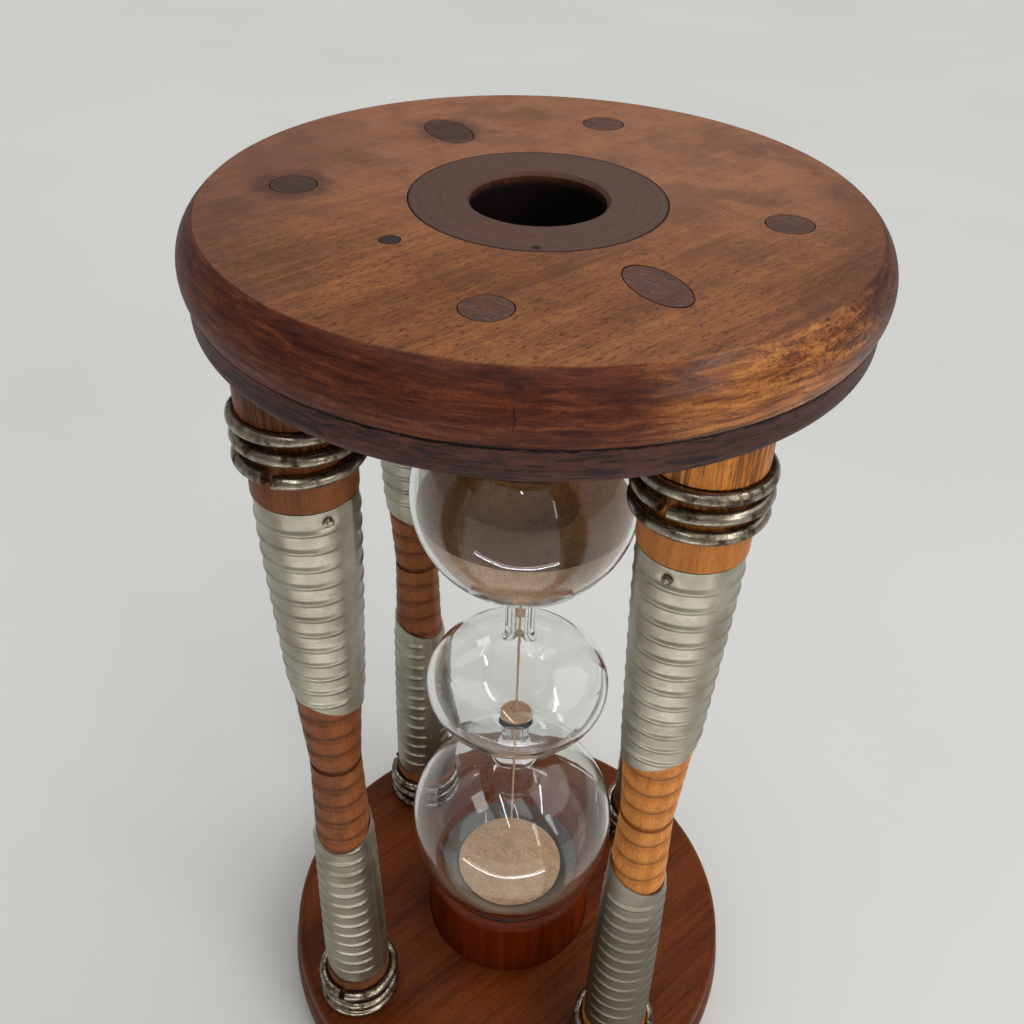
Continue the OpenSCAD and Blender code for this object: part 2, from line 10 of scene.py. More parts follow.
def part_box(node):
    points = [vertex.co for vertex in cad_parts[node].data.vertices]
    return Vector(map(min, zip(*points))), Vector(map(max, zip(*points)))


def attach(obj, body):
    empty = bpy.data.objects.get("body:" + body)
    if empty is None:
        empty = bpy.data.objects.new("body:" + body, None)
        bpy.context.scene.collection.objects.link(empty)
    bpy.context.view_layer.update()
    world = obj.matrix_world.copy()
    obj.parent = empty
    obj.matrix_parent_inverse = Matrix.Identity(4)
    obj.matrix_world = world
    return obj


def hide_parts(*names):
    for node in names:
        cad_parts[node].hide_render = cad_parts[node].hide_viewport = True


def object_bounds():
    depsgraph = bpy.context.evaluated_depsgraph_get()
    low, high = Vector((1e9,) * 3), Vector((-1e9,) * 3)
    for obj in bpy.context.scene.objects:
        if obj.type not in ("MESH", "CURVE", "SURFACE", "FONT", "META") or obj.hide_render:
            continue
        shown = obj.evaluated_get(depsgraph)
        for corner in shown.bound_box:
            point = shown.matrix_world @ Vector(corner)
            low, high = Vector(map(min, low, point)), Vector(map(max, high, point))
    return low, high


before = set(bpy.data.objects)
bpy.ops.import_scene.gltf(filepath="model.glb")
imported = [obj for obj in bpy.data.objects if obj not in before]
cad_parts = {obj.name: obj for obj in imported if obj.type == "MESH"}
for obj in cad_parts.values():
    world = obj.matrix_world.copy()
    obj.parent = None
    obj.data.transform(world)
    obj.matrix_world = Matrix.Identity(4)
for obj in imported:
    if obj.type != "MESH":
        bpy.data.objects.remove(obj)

MM = 0.001
STAND = "stand"
VIAL = "vial"
CORNERS = ("front_left", "front_right", "back_left", "back_right")
LEVELS = ("upper", "lower")
CAD_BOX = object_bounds()
HEIGHT = CAD_BOX[1].z


# ---- Measurements taken from the frame ----

def mesh_points(node):
    """A CAD node's vertices in the object's frame, one row each."""
    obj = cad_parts[node]
    return np.array([obj.matrix_world @ vertex.co for vertex in obj.data.vertices])


def loose_parts(node):
    """The vertices of each separate solid of a CAD node, vertices in one place counting as one."""
    points = mesh_points(node)
    place = np.unique(points.round(6), axis=0, return_inverse=True)[1].ravel()
    label = list(range(place.max() + 1))

    def root(index):
        while label[index] != index:
            label[index] = label[label[index]]
            index = label[index]
        return index

    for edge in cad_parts[node].data.edges:
        start, end = (root(place[index]) for index in edge.vertices)
        label[start] = end
    roots = np.array([root(index) for index in place])
    return [points[roots == part] for part in np.unique(roots)]


def middle_of(points):
    return Vector((points.min(axis=0) + points.max(axis=0)) / 2)


def peg_faces(node):
    """The middle of the face that each peg of a CAD node shows on top."""
    return [middle_of(part[part[:, 2] > HEIGHT - 0.1 * MM]) for part in loose_parts(node)]


def post_axis(corner):
    """Where a post's centre line crosses the resting plane."""
    low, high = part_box(f"{corner}_upper_quill")
    return Vector(((low.x + high.x) / 2, (low.y + high.y) / 2, 0.0))


def spread(points):
    """Distance of each point from the object's axis."""
    return np.hypot(points[:, 0], points[:, 1])


BOARD_POINTS = mesh_points("upper_head_board")
CREASE_RADIUS = spread(BOARD_POINTS[BOARD_POINTS[:, 2] > HEIGHT - 0.01 * MM]).max() / MM
SEAM_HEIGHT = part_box("upper_head_board")[0].z / MM
BORE_RADIUS = spread(mesh_points("upper_hub")).min() / MM
HUB_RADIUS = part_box("upper_hub")[1].x / MM
JOINT_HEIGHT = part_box("front_left_upper_quill")[0].z / MM
TOP_HEIGHT = HEIGHT / MM
LEFT_PEG = min(peg_faces("upper_head_pegs"), key=lambda face: face.x)
BACK_PEG = max(peg_faces("upper_hub_pegs"), key=lambda face: face.y)


# ---- Camera, light and floor ----

IMAGE_SIDE = 1024
SENSOR_WIDTH = 36.0
FOCAL_LENGTH_IN_PIXELS = 1073.7
EYE = Vector((0.0, -0.219, 0.363))
PITCH_DOWN = 0.656
YAW = -0.015
ROLL = 0.034

SUN_STRENGTH = 1.25
SUN_SPREAD = math.radians(80)
WORLD_STRENGTH = 0.34
STRIP_RADIANCE = 26.0
# Thin lamps whose only work is the bright lines in the glass: one end, the other end, width.
GLASS_STRIPS = (
    ((-0.23, -0.23, 0.01), (0.25, -0.23, 0.01), 0.006),
    ((-0.03, -0.75, 0.7), (-0.35, 0.62, 0.7), 0.014),
    ((0.53, -0.50, 0.7), (0.09, 0.60, 0.7), 0.014),
)


def make_camera():
    """A phone's view from above and in front, turned by its small yaw and roll."""
    ahead = Vector((
        math.sin(YAW) * math.cos(PITCH_DOWN),
        math.cos(YAW) * math.cos(PITCH_DOWN),
        -math.sin(PITCH_DOWN),
    ))
    right = Vector((math.cos(YAW), -math.sin(YAW), 0.0))
    up = right.cross(ahead)
    turned_right = right * math.cos(ROLL) + up * math.sin(ROLL)
    turned_up = up * math.cos(ROLL) - right * math.sin(ROLL)
    data = bpy.data.cameras.new("camera")
    data.sensor_width = SENSOR_WIDTH
    data.lens = FOCAL_LENGTH_IN_PIXELS * SENSOR_WIDTH / IMAGE_SIDE
    data.clip_start = 0.01
    camera = bpy.data.objects.new("camera", data)
    bpy.context.scene.collection.objects.link(camera)
    place = Matrix((turned_right, turned_up, -ahead)).transposed().to_4x4()
    place.translation = EYE
    camera.matrix_world = place
    bpy.context.scene.camera = camera


def aim(obj, target):
    obj.rotation_mode = "QUATERNION"
    obj.rotation_quaternion = (Vector(target) - obj.location).to_track_quat("-Z", "Y")


def add_lamp(name, kind, energy):
    data = bpy.data.lights.new(name, kind)
    data.energy = energy
    lamp = bpy.data.objects.new(name, data)
    bpy.context.scene.collection.objects.link(lamp)
    lamp.visible_camera = False
    return lamp


def add_strip(start, end, width):
    """A long thin lamp facing the vial, seen only in polished surfaces."""
    start, end = Vector(start), Vector(end)
    along = (end - start).normalized()
    place = (start + end) / 2
    facing = place - Vector((0.0, 0.0, HEIGHT / 2))
    back = (facing - along * facing.dot(along)).normalized()
    length = (end - start).length
    strip = add_lamp("strip", "AREA", STRIP_RADIANCE * math.pi * length * width)
    strip.data.shape = "RECTANGLE"
    strip.data.size, strip.data.size_y = length, width
    strip.matrix_world = Matrix((along, back.cross(along), back)).transposed().to_4x4()
    strip.location = place
    strip.visible_diffuse = False


def make_lights():
    """Broad soft light from above, a window low on the right and pale walls all round."""
    sun = add_lamp("overhead", "SUN", SUN_STRENGTH)
    sun.data.angle = SUN_SPREAD
    sun.location = (0.45, 0.05, 1.0)
    aim(sun, (0.0, 0.0, 0.0))
    window = add_lamp("window", "AREA", 3.0)
    window.data.shape = "RECTANGLE"
    window.data.size, window.data.size_y = 0.5, 0.5
    window.location = (0.7, -0.75, 0.6)
    aim(window, (0.0, 0.0, HEIGHT))
    for start, end, width in GLASS_STRIPS:
        add_strip(start, end, width)
    world = bpy.data.worlds.new("room")
    world.use_nodes = True
    background = world.node_tree.nodes["Background"]
    background.inputs["Color"].default_value = (0.98, 0.99, 1.0, 1.0)
    background.inputs["Strength"].default_value = WORLD_STRENGTH
    bpy.context.scene.world = world
    bpy.context.scene.view_settings.view_transform = "Standard"


# ---- Materials ----

GRAIN_AZIMUTH = math.radians(44)
BOARD_GRAIN = (math.cos(GRAIN_AZIMUTH), math.sin(GRAIN_AZIMUTH), 0.0)
CROSS_GRAIN = (-math.sin(GRAIN_AZIMUTH), math.cos(GRAIN_AZIMUTH), 0.0)
UPRIGHT = (0.0, 0.0, 1.0)
SCRATCH_DIRECTION = (0.8, -0.6, 0.0)
# Where marks lie round the object's axis, in degrees from its right-hand side.
RIGHT_AZIMUTH = 0
WORN_AZIMUTH = -12
SCORCHED_AZIMUTH = -36
# Centre of the rim's honey zone: wear from handling and a painted highlight.
WORN_AND_LIT_AZIMUTH = -50
# Direction of the post whose lower sleeve gets the deepest painted shade.
SHADED_POST_AZIMUTH = -54
# Nicks at the edge of the hub: azimuth, and distance as a share of the hub's radius.
HUB_NICKS = ((-90, 0.935), (38, 1.03))
# Spacing of the grooves round a quill's waist and the reach of a peg's stain, in millimetres.
GROOVE_PITCH = 7.0
HALO_REACH = 8.0
# Moves each wood to its own place in the noise, so that no two look alike.
SEED_SHIFT = 37.0


def srgb(red, green, blue):
    """A display colour, 0 to 255, as linear RGBA."""
    def linear(value):
        value /= 255
        return value / 12.92 if value <= 0.04045 else ((value + 0.055) / 1.055) ** 2.4
    return (linear(red), linear(green), linear(blue), 1.0)


class Shader:
    """One procedural material. Values passed in are sockets or plain numbers."""

    def __init__(self, name):
        self.material = bpy.data.materials.new(name)
        self.material.use_nodes = True
        self.tree = self.material.node_tree
        self.tree.nodes.clear()
        self.output = self.add("ShaderNodeOutputMaterial")
        self.surface = self.add("ShaderNodeBsdfPrincipled")
        self.link(self.surface.outputs[0], self.output.inputs["Surface"])
        place = self.add("ShaderNodeTexCoord").outputs["Object"]
        self.place = self.vector("SCALE", place, scale=1 / MM)

    def add(self, kind, **settings):
        node = self.tree.nodes.new(kind)
        for key, value in settings.items():
            setattr(node, key, value)
        return node

    def link(self, output, socket):
        self.tree.links.new(output, socket)

    def feed(self, socket, value):
        if isinstance(value, bpy.types.NodeSocket):
            self.link(value, socket)
        else:
            socket.default_value = value

    def set(self, **values):
        """Sets the surface's sockets; an underscore stands for a space."""
        for key, value in values.items():
            self.feed(self.surface.inputs[key.replace("_", " ")], value)

    def math(self, operation, *values):
        node = self.add("ShaderNodeMath", operation=operation)
        for socket, value in zip(node.inputs, values):
            self.feed(socket, value)
        return node.outputs[0]

    def times(self, *values):
        """The product of several values."""
        product = values[0]
        for value in values[1:]:
            product = self.math("MULTIPLY", product, value)
        return product

    def vector(self, operation, *values, scale=None):
        node = self.add("ShaderNodeVectorMath", operation=operation)
        for socket, value in zip(node.inputs, values):
            self.feed(socket, value)
        if scale is not None:
            node.inputs["Scale"].default_value = scale
        is_number = operation in ("DOT_PRODUCT", "LENGTH", "DISTANCE")
        return node.outputs["Value" if is_number else "Vector"]

    def split(self, value):
        node = self.add("ShaderNodeSeparateXYZ")
        self.feed(node.inputs[0], value)
        return node.outputs

    def join(self, x, y, z):
        node = self.add("ShaderNodeCombineXYZ")
        for socket, value in zip(node.inputs, (x, y, z)):
            self.feed(socket, value)
        return node.outputs[0]

    def noise(self, place, scale, detail=2.0, roughness=0.5, distortion=0.0):
        node = self.add("ShaderNodeTexNoise")
        for key, value in (("Vector", place), ("Scale", scale), ("Detail", detail),
                           ("Roughness", roughness), ("Distortion", distortion)):
            self.feed(node.inputs[key], value)
        return node.outputs["Fac"]

    def cells(self, place, scale, feature="F1"):
        node = self.add("ShaderNodeTexVoronoi", feature=feature)
        self.feed(node.inputs["Vector"], place)
        self.feed(node.inputs["Scale"], scale)
        return node.outputs

    def step(self, value, low, high):
        """0 below low and 1 above high, smooth between; low may be the larger."""
        node = self.add("ShaderNodeMapRange", interpolation_type="SMOOTHSTEP")
        rising = low < high
        for socket, number in zip(node.inputs, (value, min(low, high), max(low, high))):
            self.feed(socket, number)
        node.inputs["To Min"].default_value = 0.0 if rising else 1.0
        node.inputs["To Max"].default_value = 1.0 if rising else 0.0
        return node.outputs[0]

    def band(self, value, middle, half_width, softness):
        """1 where value is within half_width of middle, falling off over softness."""
        away = self.math("ABSOLUTE", self.math("SUBTRACT", value, middle))
        return self.step(away, half_width + softness, half_width)

    def mix(self, share, first, second, blend="MIX"):
        node = self.add("ShaderNodeMix", data_type="RGBA", blend_type=blend)
        self.feed(node.inputs["Factor"], share)
        self.feed(node.inputs[6], first)
        self.feed(node.inputs[7], second)
        return node.outputs[2]

    def stain(self, colour, tint, *masks):
        """Lays a tint over a colour as far as the product of the masks allows."""
        return self.mix(self.times(*masks), colour, tint)

    def ramp(self, value, *stops):
        """A colour ramp; each stop is a position and a colour."""
        node = self.add("ShaderNodeValToRGB")
        elements = node.color_ramp.elements
        while len(elements) < len(stops):
            elements.new(1.0)
        for element, (position, colour) in zip(elements, stops):
            element.position = position
            element.color = colour
        self.feed(node.inputs[0], value)
        return node.outputs[0]

    def bump(self, height, depth, under=None):
        """Relief: height 0 to 1 stands for depth millimetres."""
        node = self.add("ShaderNodeBump")
        self.feed(node.inputs["Height"], height)
        node.inputs["Strength"].default_value = 1.0
        node.inputs["Distance"].default_value = depth * MM
        if under is not None:
            self.link(under, node.inputs["Normal"])
        return node.outputs[0]

    def facing(self, direction):
        """How squarely the surface faces along a direction, either way, 0 to 1."""
        normal = self.add("ShaderNodeTexCoord").outputs["Normal"]
        return self.math("ABSOLUTE", self.vector("DOT_PRODUCT", normal, direction))


def toward(shader, azimuth):
    """How nearly a point lies in a direction from the object's axis, from -1 to 1."""
    flat = shader.vector("NORMALIZE", shader.vector("MULTIPLY", shader.place, (1.0, 1.0, 0.0)))
    angle = math.radians(azimuth)
    return shader.vector("DOT_PRODUCT", flat, (math.cos(angle), math.sin(angle), 0.0))


def off_axis(shader):
    """Distance from the object's axis, in millimetres."""
    return shader.vector("LENGTH", shader.vector("MULTIPLY", shader.place, (1.0, 1.0, 0.0)))


def scaled(colour, share):
    """A colour made lighter or darker, at full alpha."""
    return tuple(share * channel for channel in colour[:3]) + (1.0,)


def grey_tints(*stops):
    """Ramp stops that multiply a colour: each is a position and three channel factors."""
    return [(position, (*factors, 1.0)) for position, factors in stops]


def fibres(shader, grain, seed):
    """Returns a function giving texture coordinates drawn out along the grain."""
    grain = Vector(grain).normalized()
    helper = Vector((0, 0, 1)) if abs(grain.z) < 0.9 else Vector((1, 0, 0))
    side = grain.cross(helper).normalized()
    rise = side.cross(grain)
    along, across, up = (
        shader.math("ADD", shader.vector("DOT_PRODUCT", shader.place, tuple(axis)), seed * SEED_SHIFT)
        for axis in (grain, side, rise)
    )

    def stretched(slow, fast):
        return shader.join(
            shader.times(along, slow),
            shader.times(across, fast),
            shader.times(up, fast),
        )
    return stretched


def wood_look(shader, grain, light, dark, end, seed, pore_share):
    """Colour and relief of stained hardwood: drifting tone, fibres, fine pores, end grain."""
    stretched = fibres(shader, grain, seed)
    drift = shader.noise(stretched(0.014, 0.05), 1.0, 3.0, 0.6)
    bands = shader.noise(stretched(0.02, 0.5), 1.0, 4.0, 0.62, 0.3)
    fibre = shader.noise(stretched(0.35, 3.2), 1.0, 2.0, 0.6)
    pores = shader.noise(stretched(0.7, 2.8), 1.0, 1.0, 0.5)
    tone = shader.math(
        "ADD", shader.times(drift, 0.5), shader.times(bands, 0.5))
    colour = shader.ramp(tone, (0.38, dark), (0.6, light))
    fibre_tint = shader.ramp(fibre, *grey_tints((0.3, (0.78, 0.75, 0.74)), (0.7, (1.1, 1.1, 1.1))))
    colour = shader.mix(1.0, colour, fibre_tint, "MULTIPLY")
    pore = shader.times(shader.step(pores, 0.55, 0.68), pore_share)
    colour = shader.mix(pore, colour, scaled(dark, 0.35))
    cut_across = shader.step(shader.facing(grain), 0.4, 0.95)
    speckle = shader.noise(shader.place, 2.2, 3.0, 0.6)
    end_colour = shader.ramp(speckle, (0.35, scaled(end, 0.72)), (0.65, end))
    colour = shader.stain(colour, end_colour, cut_across, 0.8)
    relief = shader.math("SUBTRACT", fibre, pore)
    return colour, relief


def finish_wood(shader, colour, relief, roughness, specular, coat=0.0):
    """Sets the surface of a wood from its colour and relief."""
    shader.set(
        Base_Color=colour,
        Roughness=shader.math("ADD", roughness, shader.times(relief, 0.12)),
        Specular_IOR_Level=specular,
        Coat_Weight=coat,
        Coat_Roughness=0.22,
        Normal=shader.bump(relief, 0.035),
    )


def make_wood(name, grain, light, dark, end, seed, roughness=0.4, specular=0.22):
    """A plain wood with no marks of its own."""
    shader = Shader(name)
    colour, relief = wood_look(shader, grain, light, dark, end, seed, 0.4)
    finish_wood(shader, colour, relief, roughness, specular)
    return shader


def stain_pegs(shader, colour):
    """Blotchy dark haloes over two of the pegs and the board round them."""
    uneven = shader.times(shader.noise(shader.place, 0.28, 3.0, 0.6), HALO_REACH)
    for centre in (LEFT_PEG, BACK_PEG):
        away = shader.vector("DISTANCE", shader.place, tuple(centre / MM))
        halo = shader.step(shader.math("ADD", away, uneven), 1.9 * HALO_REACH, 1.1 * HALO_REACH)
        colour = shader.stain(colour, srgb(60, 40, 36), halo, 0.6)
    return colour


def level_layers(shader):
    """Texture coordinates drawn out sideways and packed close in height."""
    return shader.vector("MULTIPLY", shader.place, (0.09, 0.09, 0.75))


def face_look(shader, colour, x, y):
    """The flat face: paler and pinker to the back as a painted sheen, grimy at the left and in patches.
    """
    blotch = shader.noise(shader.place, 0.045, 4.0, 0.6)
    cloud = shader.noise(shader.place, 0.1, 4.0, 0.65)
    # Painted sheen: the back of the face is lightened towards a pale pink, standing in for glare.
    painted_back_sheen = shader.step(y, -45.0, 25.0)
    colour = shader.stain(colour, srgb(178, 124, 96), painted_back_sheen, 0.5)
    grime = (
        (shader.step(x, -36.0, -60.0), 0.4),
        (shader.step(blotch, 0.52, 0.64), 0.34),
        (shader.step(cloud, 0.46, 0.6), 0.24),
    )
    for mask, share in grime:
        colour = shader.stain(colour, srgb(84, 54, 46), mask, share)
    outer = shader.step(off_axis(shader), 56.0, 69.0)
    worn_side = shader.step(toward(shader, WORN_AZIMUTH), 0.75, 0.97)
    colour = shader.stain(colour, srgb(88, 48, 34), outer, worn_side, 0.45)
    return stain_pegs(shader, colour)


def rim_look(shader, z):
    """The rim's colour, honey where it is handled and where light falls on it, which is partly a
    painted highlight, and scorched beside that; also the mask of that honey zone.
    """
    streaks = shader.noise(level_layers(shader), 1.0, 6.0, 0.74, 0.5)
    colour = shader.ramp(
        streaks, (0.34, srgb(56, 25, 18)), (0.5, srgb(94, 45, 28)), (0.66, srgb(130, 70, 40)))
    # Honey zone: partly wear from handling, partly a painted highlight where the rim faces the light.
    honey = shader.ramp(
        streaks, (0.36, srgb(96, 50, 26)), (0.48, srgb(158, 92, 44)), (0.62, srgb(214, 138, 68)))
    worn_and_lit = shader.step(toward(shader, WORN_AND_LIT_AZIMUTH), 0.885, 0.985)
    colour = shader.stain(colour, honey, worn_and_lit, 0.85)
    smoked = shader.ramp(streaks, (0.38, srgb(46, 25, 18)), (0.62, srgb(112, 62, 38)))
    right_side = shader.step(toward(shader, RIGHT_AZIMUTH), 0.68, 0.9)
    colour = shader.stain(colour, smoked, right_side, 0.85)
    nap = shader.noise(shader.place, 1.8, 4.0, 0.7)
    colour = shader.stain(colour, srgb(52, 26, 20), shader.step(nap, 0.48, 0.68), 0.5)
    flecks = shader.noise(shader.vector("MULTIPLY", shader.place, (0.7, 0.7, 1.4)), 1.0, 5.0, 0.8)
    under_crease = shader.band(z, TOP_HEIGHT - 3.5, 2.5, 3.0)
    scorched_side = shader.step(toward(shader, SCORCHED_AZIMUTH), 0.88, 0.98)
    colour = shader.stain(
        colour, srgb(46, 26, 20), under_crease, scorched_side, shader.step(flecks, 0.48, 0.6), 0.7)
    return colour, worn_and_lit


def crack_mask(shader, x, y, z):
    """1 along the short wandering crack in the front of the rim."""
    wander = shader.times(shader.noise(shader.place, 0.7, 3.0, 0.6), 1.6)
    line = shader.band(shader.math("ADD", x, wander), -1.6, 0.06, 0.16)
    span = shader.band(z, TOP_HEIGHT - 7.5, 1.4, 1.2)
    front = shader.step(y, 0.0, -1.0)
    return shader.times(line, span, front)


def seam_mask(shader, x, z):
    """1 along the ragged open glue line between board and backing, shut at the left."""
    ragged = shader.noise(shader.place, 0.35, 4.0, 0.7)
    height = shader.math("ADD", z, shader.times(shader.math("SUBTRACT", ragged, 0.5), 1.2))
    line = shader.band(height, SEAM_HEIGHT, 0.3, 0.2)
    open_side = shader.step(x, -52.0, -28.0)
    return shader.times(line, open_side)


def make_top_board():
    """The worn upper board: a fair face with a painted sheen to the back, a handled rim with a painted
    highlight, a short crack and the open glue line.
    """
    shader = Shader("head_wood")
    colour, relief = wood_look(
        shader, BOARD_GRAIN, srgb(172, 110, 62), srgb(128, 76, 44), srgb(96, 52, 34), 0.0, 0.75)
    x, y, z = shader.split(shader.place)
    rim = shader.step(off_axis(shader), CREASE_RADIUS - 0.25, CREASE_RADIUS + 0.35)
    rim_colour, worn_and_lit = rim_look(shader, z)
    colour = shader.mix(rim, face_look(shader, colour, x, y), rim_colour)
    colour = shader.mix(crack_mask(shader, x, y, z), colour, srgb(24, 14, 12))
    colour = shader.mix(seam_mask(shader, x, z), colour, srgb(20, 12, 10))
    finish_wood(shader, colour, relief, 0.42, 0.1, shader.times(rim, worn_and_lit, 0.25))
    return shader


def make_backing():
    """Dark streaky ply under the upper board."""
    shader = Shader("backing_wood")
    colour, relief = wood_look(
        shader, CROSS_GRAIN, srgb(112, 66, 54), srgb(70, 44, 40), srgb(84, 54, 48), 1.0, 0.3)
    streaks = shader.noise(level_layers(shader), 1.4, 5.0, 0.7, 0.4)
    colour = shader.mix(shader.step(streaks, 0.46, 0.62), colour, srgb(44, 33, 35))
    x, _, z = shader.split(shader.place)
    colour = shader.mix(seam_mask(shader, x, z), colour, srgb(20, 12, 10))
    finish_wood(shader, colour, relief, 0.45, 0.12)
    return shader


def make_hub():
    """End grain, dull brown, with a dark joint line, two nicks and painted shade down the bore."""
    shader = Shader("hub_wood")
    colour, relief = wood_look(
        shader, UPRIGHT, srgb(112, 62, 38), srgb(82, 46, 32), srgb(104, 76, 64), 3.0, 0.3)
    radius = off_axis(shader)
    unround = shader.noise(shader.place, 0.08, 2.0, 0.5)
    rings = shader.noise(shader.join(radius, 0.0, unround), 0.9, 3.0, 0.6)
    colour = shader.stain(colour, srgb(62, 42, 38), shader.step(rings, 0.5, 0.7), 0.3)
    edge = shader.band(radius, HUB_RADIUS, 0.1, 0.45)
    colour = shader.stain(colour, srgb(30, 20, 18), edge, 0.8)
    for azimuth, distance in HUB_NICKS:
        angle = math.radians(azimuth)
        place = HUB_RADIUS * distance * Vector((math.cos(angle), math.sin(angle), 0.0))
        place.z = TOP_HEIGHT
        away = shader.vector("DISTANCE", shader.place, tuple(place))
        colour = shader.mix(shader.step(away, 1.3, 0.5), colour, srgb(22, 14, 12))
    # Painted shade: the bore wall below its lip is darkened to near black, as if no light reached in.
    shaded_bore_wall = shader.step(radius, BORE_RADIUS + 0.5, BORE_RADIUS + 0.1)
    z = shader.split(shader.place)[2]
    below_lip = shader.step(z, TOP_HEIGHT - 0.6, TOP_HEIGHT - 3.0)
    colour = shader.stain(colour, srgb(20, 13, 11), shaded_bore_wall, below_lip)
    finish_wood(shader, colour, relief, 0.45, 0.15)
    return shader


def make_peg():
    """Peg ends: dull red-brown end grain with a few pale scratches."""
    shader = Shader("peg_wood")
    colour, relief = wood_look(
        shader, UPRIGHT, srgb(116, 72, 56), srgb(84, 56, 46), srgb(102, 66, 52), 5.0, 0.3)
    cloud = shader.noise(shader.place, 0.11, 3.0, 0.6)
    colour = shader.stain(colour, srgb(70, 50, 44), shader.step(cloud, 0.42, 0.6), 0.5)
    rubbed = fibres(shader, SCRATCH_DIRECTION, 6.0)(0.12, 1.6)
    scratch = shader.band(shader.noise(rubbed, 1.0, 3.0, 0.7, 1.2), 0.5, 0.004, 0.01)
    colour = shader.stain(colour, srgb(176, 138, 122), scratch, 0.55)
    colour = stain_pegs(shader, colour)
    finish_wood(shader, colour, relief, 0.45, 0.12)
    return shader


def make_quill(name, light, dark, seed):
    """Honey-coloured pirn with turned grooves round its bare waist, dark in and beside the grooves with
    painted shade, blackened by handling.
    """
    shader = Shader(name)
    colour, relief = wood_look(shader, UPRIGHT, light, dark, scaled(dark, 0.6), seed, 0.22)
    z = shader.split(shader.place)[2]
    from_joint = shader.math("ABSOLUTE", shader.math("SUBTRACT", z, JOINT_HEIGHT))
    waist = shader.step(from_joint, 36.0, 34.0)
    to_groove = shader.math("PINGPONG", from_joint, GROOVE_PITCH / 2)
    wander = shader.times(shader.noise(shader.place, 0.4, 2.0, 0.5), 0.5)
    # Dark lines in the grooves, partly dirt and partly painted shade, then painted shade either side of
    # each groove.
    line = shader.step(shader.math("ADD", to_groove, wander), 0.75, 0.3)
    colour = shader.stain(colour, scaled(dark, 0.22), line, waist, 0.75)
    shade = shader.step(to_groove, 2.4, 0.4)
    colour = shader.stain(colour, scaled(dark, 0.6), shade, waist, 0.35)
    grime = shader.noise(shader.place, 0.16, 4.0, 0.65)
    colour = shader.stain(colour, scaled(dark, 0.5), shader.step(grime, 0.54, 0.7), 0.4)
    cracks = shader.noise(fibres(shader, UPRIGHT, seed)(0.05, 0.9), 1.0, 4.0, 0.7)
    butt = shader.step(from_joint, 98.0, 104.0)
    colour = shader.stain(colour, scaled(dark, 0.3), butt, shader.step(cracks, 0.46, 0.56), 0.8)
    ring_seat = shader.band(from_joint, 88.0, 9.0, 3.0)
    colour = shader.stain(colour, scaled(dark, 0.6), ring_seat, 0.3)
    finish_wood(shader, colour, relief, 0.38, 0.12, 0.05)
    return shader


def make_steel():
    """Tarnished spring wire, brown-black in patches and rubbed bright between them."""
    shader = Shader("ring_steel")
    tarnish = shader.noise(shader.place, 0.3, 4.0, 0.62)
    fine = shader.noise(shader.place, 3.5, 3.0, 0.6)
    colour = shader.ramp(
        tarnish, (0.38, srgb(62, 50, 40)), (0.48, srgb(124, 113, 97)), (0.66, srgb(160, 152, 136)))
    dull = shader.step(tarnish, 0.52, 0.38)
    shader.set(
        Base_Color=colour,
        Metallic=0.95,
        Roughness=shader.math("ADD", 0.24, shader.times(dull, 0.25)),
        Normal=shader.bump(fine, 0.012),
    )
    return shader


def make_tin():
    """Dull tinned sheet, faintly clouded, with grey tarnish, fine rub marks and painted shade on the
    lower sleeves, deepest on the right front post.
    """
    shader = Shader("tin")
    cloud = shader.noise(shader.place, 0.11, 4.0, 0.62)
    spots = shader.noise(shader.place, 0.9, 4.0, 0.7)
    rub = shader.noise(fibres(shader, UPRIGHT, 2.0)(3.4, 0.35), 1.0, 2.0, 0.6)
    colour = shader.ramp(cloud, (0.32, srgb(140, 133, 117)), (0.68, srgb(172, 167, 151)))
    colour = shader.stain(colour, srgb(104, 96, 82), shader.step(spots, 0.6, 0.72), 0.5)
    # Painted shade: the lower sleeves are darkened, and the right front post's lower sleeve more so.
    shaded_lower_sleeves = shader.step(shader.split(shader.place)[2], 125.0, 85.0)
    colour = shader.stain(colour, srgb(98, 89, 74), shaded_lower_sleeves, 0.3)
    shaded_right_post = shader.step(toward(shader, SHADED_POST_AZIMUTH), 0.8, 0.95)
    colour = shader.stain(colour, srgb(84, 74, 60), shaded_lower_sleeves, shaded_right_post, 0.75)
    shader.set(
        Base_Color=colour,
        Metallic=0.92,
        Roughness=shader.math("ADD", 0.3, shader.times(spots, 0.16)),
        Normal=shader.bump(rub, 0.01, shader.bump(spots, 0.015)),
    )
    return shader


def make_glass():
    """Clear lamp-blown glass. Lamps shine through it, so the sand inside is lit."""
    shader = Shader("glass")
    ripple = shader.noise(shader.place, 0.06, 2.0, 0.5)
    shader.set(
        Base_Color=(0.985, 0.99, 0.985, 1.0),
        Roughness=0.0,
        IOR=1.47,
        Transmission_Weight=1.0,
        Normal=shader.bump(ripple, 0.12),
    )
    rays = shader.add("ShaderNodeLightPath")
    clear = shader.add("ShaderNodeBsdfTransparent")
    clear.inputs["Color"].default_value = (0.94, 0.95, 0.94, 1.0)
    mixer = shader.add("ShaderNodeMixShader")
    shader.link(rays.outputs["Is Shadow Ray"], mixer.inputs[0])
    shader.link(shader.surface.outputs[0], mixer.inputs[1])
    shader.link(clear.outputs[0], mixer.inputs[2])
    shader.link(mixer.outputs[0], shader.output.inputs["Surface"])
    return shader


